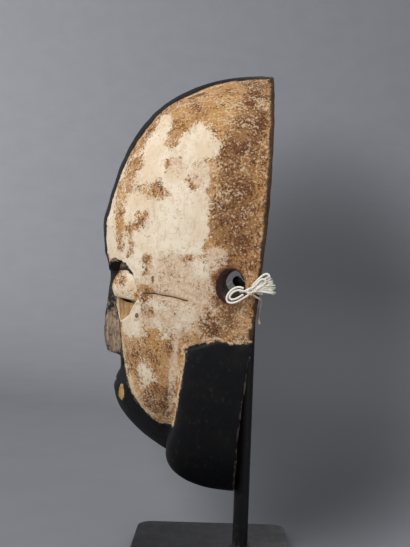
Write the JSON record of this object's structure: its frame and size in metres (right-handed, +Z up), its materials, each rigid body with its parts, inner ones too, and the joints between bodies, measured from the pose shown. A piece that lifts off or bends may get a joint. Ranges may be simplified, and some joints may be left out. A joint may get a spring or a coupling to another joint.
{
  "type": "galoa mask on stand",
  "caption": "Hollow oval wooden face mask with slit eyes, ear holes and a dark jaw collar, tied with cotton twine to the pin of a round rod on a square steel base plate.",
  "frame": {"origin": "middle of the base plate's underside", "axes": "+Z up, the mask faces -Y, +X is the mask's own left"},
  "size_m": [0.1863, 0.1504, 0.3773],
  "materials": {
    "wood": "worn white clay over ochre and brown wood, black below",
    "steel": "satin black",
    "cotton": "matt twisted twine"
  },
  "bodies": {
    "root": {"base_plate": "steel", "stand_rod": "steel", "mask": "wood", "knot_left": "cotton", "knot_right": "cotton", "twine_span": "cotton", "twine_ring_left": "cotton", "twine_ring_right": "cotton", "bow_front_outer": "cotton", "bow_front_inner": "cotton", "bow_back_outer": "cotton", "bow_back_inner": "cotton", "tail_left": "cotton", "tail_right_front": "cotton", "tail_right_down": "cotton"}
  },
  "joints": []
}
